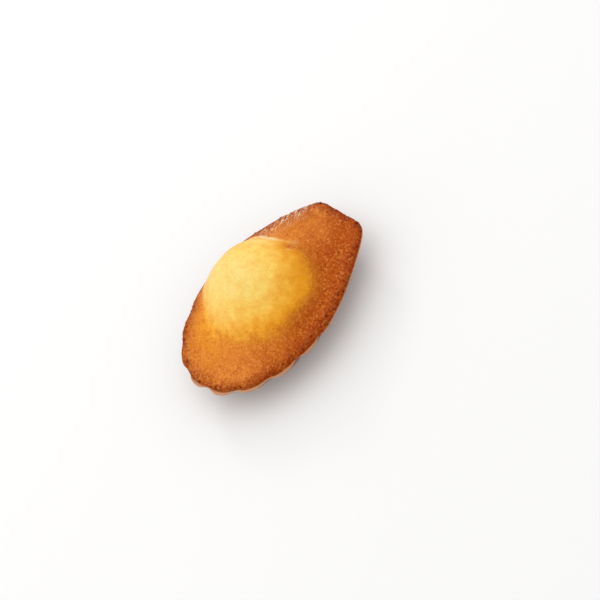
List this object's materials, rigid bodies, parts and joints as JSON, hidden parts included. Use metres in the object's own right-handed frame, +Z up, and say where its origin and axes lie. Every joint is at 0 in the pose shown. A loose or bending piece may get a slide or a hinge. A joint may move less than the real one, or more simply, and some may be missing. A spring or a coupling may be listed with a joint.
{
  "type": "madeleine cake",
  "caption": "Shell-shaped golden sponge cake with a tall round hump, set in a fluted milk-chocolate shell that it rests on.",
  "frame": {"origin": "on the table, under the middle of the cake's box", "axes": "+Z up through the hump, +X along the cake to its blunt end, -X to its scalloped end"},
  "size_m": [0.0774, 0.0504, 0.0271],
  "materials": {
    "sponge": "baked golden crumb, browned at the edge and pale yellow on the hump, slightly moist",
    "milk_chocolate": "smooth moulded milk chocolate with a soft satin sheen"
  },
  "bodies": {
    "root": {"sponge": "sponge", "chocolate_shell": "milk_chocolate"}
  },
  "joints": []
}
